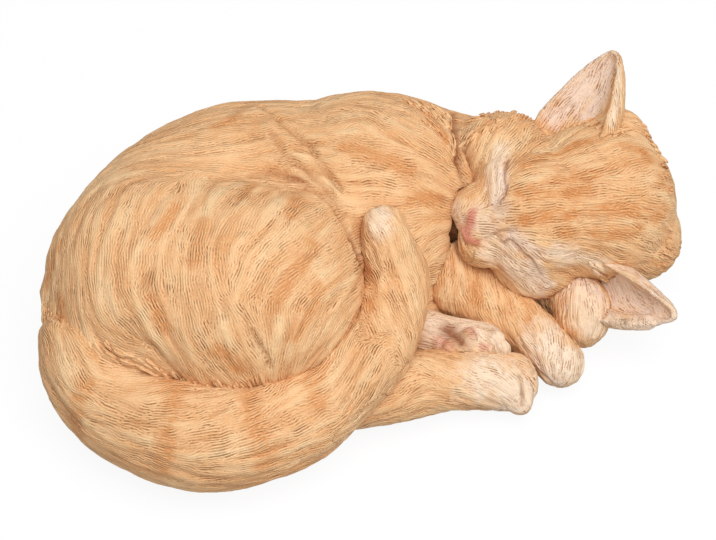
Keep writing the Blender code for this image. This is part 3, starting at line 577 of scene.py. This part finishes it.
# The tail lies round the rump and along the thigh, with its fur drawn towards the tip
tail = {
    "voxel": 0.00080, "relax": 12, "swell": 0.0003, "clump": 0.0020, "relief": 0.00028,
    "flow": [
        [(66, 360), (78, 392), (116, 407), (149, 420)], [(93, 413), (145, 424), (190, 428)],
        [(60, 400), (84, 430), (120, 450)],
        [(130, 390), (170, 386), (200, 384)], [(189, 432), (220, 426), (238, 412)],
        [(188, 446), (232, 440), (280, 428), (330, 410)],
        [(150, 462), (202, 478), (260, 474), (317, 453), (360, 436)], [(240, 402), (270, 396), (290, 380)],
        [(250, 440), (298, 426), (330, 412)], [(330, 345), (345, 320), (352, 290)],
        [(352, 400), (372, 370), (384, 330)],
        [(357, 226), (372, 252), (380, 270)], [(366, 224), (385, 252), (392, 280)],
        [(360, 290), (372, 320), (384, 350)],
        [(385, 300), (400, 330), (408, 356)], [(400, 390), (410, 370)], [(395, 420), (360, 430), (330, 444)],
    ],
    "bands": [
        [(84, 386), (78, 408), (76, 428)], [(172, 392), (170, 420), (166, 448), (160, 466)],
        [(252, 396), (250, 420), (262, 446), (266, 466)], [(316, 360), (312, 384), (318, 404)],
        [(180, 384), (162, 378)],
        [(352, 300), (372, 306)], [(345, 262), (365, 270)],
    ],
    "bandHalf": 0.0055,
    "cream": [[[(378, 212), (378, 226)], 0.0065]],
    "folds": [[[(60, 328), (90, 345), (120, 362)], -0.0015, 0.0080, 0], [[(43, 331), (50, 326)], -0.0018, 0.0050, 0],
              [[(50, 392), (58, 410), (68, 424)], 0.0022, 0.0080, 0]],
    "calm": [[[(44, 322), (56, 330), (70, 336)], 0.0060]],
}

foreleg = {
    "voxel": 0.00062, "relax": 10, "swell": 0.0003, "clump": 0.0011, "relief": 0.00022,
    "flow": [
        [(428, 250), (430, 300)], [(446, 256), (448, 316)], [(470, 258), (476, 308)], [(490, 270), (500, 320)],
        [(515, 285), (530, 340)], [(540, 300), (552, 350)], [(560, 330), (556, 370)], [(575, 350), (566, 384)],
    ],
    "bands": [
        [(436, 262), (434, 300)], [(472, 262), (475, 300)], [(505, 280), (506, 310)], [(535, 300), (528, 330)],
    ],
    "cream": [[[(545, 345), (572, 372)], 0.013]], "creamShare": 0.95, "bandShare": 0.75,
    "skin": [[[(536, 362), (550, 376), (562, 385)], 0.0025]],
    "folds": [[[(500, 342), (516, 354)], -0.0015, 0.0050, 0],
              [[(534, 366), (548, 379), (560, 387)], 0.0008, 0.0010, 0.3]],
}

forepaw = {
    "voxel": 0.00056, "relax": 8, "swell": 0.0003, "clump": 0.0011, "relief": 0.00022,
    "flow": [[(564, 288), (560, 316), (567, 345)], [(586, 284), (586, 345)], [(600, 296), (598, 336)]],
    "bands": [[(560, 300), (556, 320)]],
    "cream": [[[(575, 288), (592, 300), (596, 325)], 0.011]], "creamShare": 0.7,
    "skin": [[[(582, 284), (600, 294)], 0.0040]],
}

hindFoot = {
    "voxel": 0.00066, "relax": 10, "swell": 0.0003, "clump": 0.0011, "relief": 0.00022,
    "flow": [
        [(330, 420), (380, 405), (420, 380)], [(418, 364), (466, 389), (498, 402)],
        [(440, 358), (480, 374), (505, 384)],
        [(400, 420), (430, 408), (460, 412)], [(505, 366), (525, 390), (530, 402)],
    ],
    "bands": [[(430, 375), (442, 395)]],
    "cream": [[[(492, 376), (520, 396)], 0.016]], "creamShare": 0.80, "bandShare": 0.4,
    "skin": [[[(490, 412), (505, 410), (520, 410)], 0.0022]],
    "folds": [
        [[(519, 376), (523, 390), (522, 406)], 0.0016, 0.0009, 0.30], [[(500, 398), (506, 408)], 0.0006, 0.0008, 0.1],
        [[(504, 357), (520, 360)], -0.0028, 0.0060, 0],
    ],
}

sole = {
    "voxel": 0.00050, "relax": 6, "swell": 0.0003, "clump": 0.0010, "relief": 0.00018,
    "flow": [[(440, 322), (460, 326), (480, 324)], [(480, 326), (498, 336), (504, 350)]],
    "folds": [
        [[(448, 328), (456, 334), (462, 342)], 0.0034, 0.0046, 0.90], [[(471, 334), (472, 336)], -0.0030, 0.0036, -1],
        [[(441, 345), (448, 348)], -0.0030, 0.0042, -1], [[(484, 348), (488, 349)], -0.0022, 0.0026, -1],
    ],
    "rose": [[[(470, 330), (472, 333)], 0.0034], [[(440, 341), (450, 344)], 0.0040],
             [[(483, 346), (488, 347)], 0.0024]],
    "bare": [[[(470, 330), (472, 333)], 0.0034], [[(440, 341), (450, 344)], 0.0040]],
    "cream": [[[(440, 325), (470, 318), (500, 335)], 0.018]], "creamShare": 0.85, "roseShare": 0.45,
}

earNear = {
    "voxel": 0.00052, "relax": 4, "swell": 0.0002, "clump": 0.0009, "relief": 0.00012,
    "flow": [[(612, 268), (632, 300), (650, 314)], [(630, 268), (655, 305)], [(676, 240), (672, 300)]],
    "cream": [[[(612, 256), (640, 272), (660, 292), (676, 312)], 0.0028],
              [[(606, 323), (628, 328), (650, 328), (674, 318)], 0.0060]],
    "mouth": (0.0, -0.64, 0.77),
    "skin": [[[(612, 285), (630, 290), (655, 308)], 0.016]], "calm": [[[(600, 323), (607, 325)], 0.0050]],
    "folds": [[[(606, 316), (618, 320), (634, 321), (646, 321)], -0.0032, 0.0042, 0]],
}

earFar = {
    "voxel": 0.00052, "relax": 4, "swell": 0.0002, "clump": 0.0009, "relief": 0.00012,
    "flow": [[(560, 118), (590, 84), (610, 60)], [(594, 130), (598, 90), (612, 60)], [(622, 110), (616, 70)]],
    "cream": [[[(545, 106), (575, 80), (600, 58), (614, 54), (618, 90), (612, 124)], 0.0028]],
    "mouth": (-0.3, -0.61, 0.73),
    "skin": [[[(556, 116), (575, 98), (590, 82), (604, 66)], 0.0080], [[(588, 118), (600, 98), (606, 76)], 0.0050]],
}

for node, slot, shape in (
        ("trunk", "ginger_coat", trunk), ("head", "ginger_coat", head), ("tail", "ginger_coat", tail),
        ("foreleg_right", "pale_coat", foreleg), ("forepaw_left", "pale_coat", forepaw),
        ("hind_foot_right", "pale_coat", hindFoot), ("hind_foot_left", "sole_resin", sole),
        ("ear_left", "ear_resin", earNear), ("ear_right", "ear_resin", earFar)):
    finishSection(node, shape)


# The cover is thin fibreboard and the pads are pressed wool felt. Both are matt.
under = {"board": "#5A4838", "boardFleck": "#3E3025", "felt": "#2A2725", "feltFleck": "#45403C",
         "fibre": 0.0018, "fibreDepth": 0.0002, "nap": 0.0006, "napDepth": 0.0003, "detail": 6, "contrast": 0.7,
         "strength": 0.6, "roughness": 0.9}


def flecked(name, colour, fleck, grain, depth):
    material = bpy.data.materials.new(name)
    material.use_nodes = True
    tree = material.node_tree
    shader = tree.nodes["Principled BSDF"]
    place = addNode(tree, "ShaderNodeTexCoord").outputs["Object"]
    cloud = addNode(tree, "ShaderNodeTexNoise", {"Vector": place, "Scale": 1 / grain, "Detail": under["detail"],
                                                 "Roughness": under["contrast"]}).outputs["Fac"]
    tree.links.new(mixed(tree, cloud, linear(colour), linear(fleck)), shader.inputs["Base Color"])
    bump = addNode(tree, "ShaderNodeBump", {"Height": cloud, "Distance": depth, "Strength": under["strength"]})
    tree.links.new(bump.outputs[0], shader.inputs["Normal"])
    shader.inputs["Roughness"].default_value = under["roughness"]
    return material


board = flecked("pressed_fibreboard", under["board"], under["boardFleck"], under["fibre"], under["fibreDepth"])
felt = flecked("pressed_wool_felt", under["felt"], under["feltFleck"], under["nap"], under["napDepth"])
pads = [f"pad_{end}_{side}" for end in ("front", "back") for side in ("left", "right")]
for node, material in [("base_cover", board)] + [(pad, felt) for pad in pads]:
    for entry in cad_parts[node].material_slots:
        entry.material = material
print("cover and pads ready")

# White paper, which looks white to the camera but lights the underside only as strongly as grey card would,
# a pale room, and two soft lamps (power in watts, side in metres, place) above and in front
studio = {"floorHalf": 2.0, "paper": "#B4B4B4", "paperRoughness": 0.9, "glow": 1.13, "glowShare": 0.8,
          "ambient": 0.52, "aim": (0, 0, 0.04),
          "lamps": {"key": (10.0, 0.9, (0.15, -0.40, 1.15)), "fill": (3.6, 1.4, (0.8, -0.6, 0.8))}}
bpy.ops.mesh.primitive_plane_add(size=studio["floorHalf"] * 2, location=(0, 0, 0))
floor = bpy.context.object
floor.name = "studio_floor"
sweep = bpy.data.materials.new("white_paper")
sweep.use_nodes = True
tree = sweep.node_tree
seen = addNode(tree, "ShaderNodeLightPath").outputs["Is Camera Ray"]
paper = tree.nodes["Principled BSDF"]
paper.inputs["Base Color"].default_value = linear(studio["paper"])
paper.inputs["Roughness"].default_value = studio["paperRoughness"]
glow = addNode(tree, "ShaderNodeEmission", {"Strength": studio["glow"]}).outputs[0]
share = addNode(tree, "ShaderNodeMath", {0: seen, 1: studio["glowShare"]}, operation="MULTIPLY").outputs[0]
out = addNode(tree, "ShaderNodeMixShader", {0: share, 1: paper.outputs[0], 2: glow}).outputs[0]
tree.links.new(out, tree.nodes["Material Output"].inputs["Surface"])
floor.data.materials.append(sweep)

world = bpy.data.worlds.new("white_room")
scene.world = world
world.use_nodes = True
tree = world.node_tree
seen = addNode(tree, "ShaderNodeLightPath").outputs["Is Camera Ray"]
strength = addNode(tree, "ShaderNodeMapRange", {"Value": seen, "To Min": studio["ambient"], "To Max": 1.0}).outputs[0]
tree.links.new(strength, tree.nodes["Background"].inputs["Strength"])
tree.nodes["Background"].inputs["Color"].default_value = (1, 1, 1, 1)

for name, (power, size, place) in studio["lamps"].items():
    lamp = bpy.data.lights.new(name, "AREA")
    lamp.energy, lamp.size = power, size
    holder = bpy.data.objects.new(name, lamp)
    holder.location = place
    holder.rotation_euler = (Vector(studio["aim"]) - Vector(place)).to_track_quat("-Z", "Y").to_euler()
    scene.collection.objects.link(holder)
print("studio ready")

scene.view_settings.view_transform = "Standard"

bpy.context.view_layer.update()
print("scene ready")
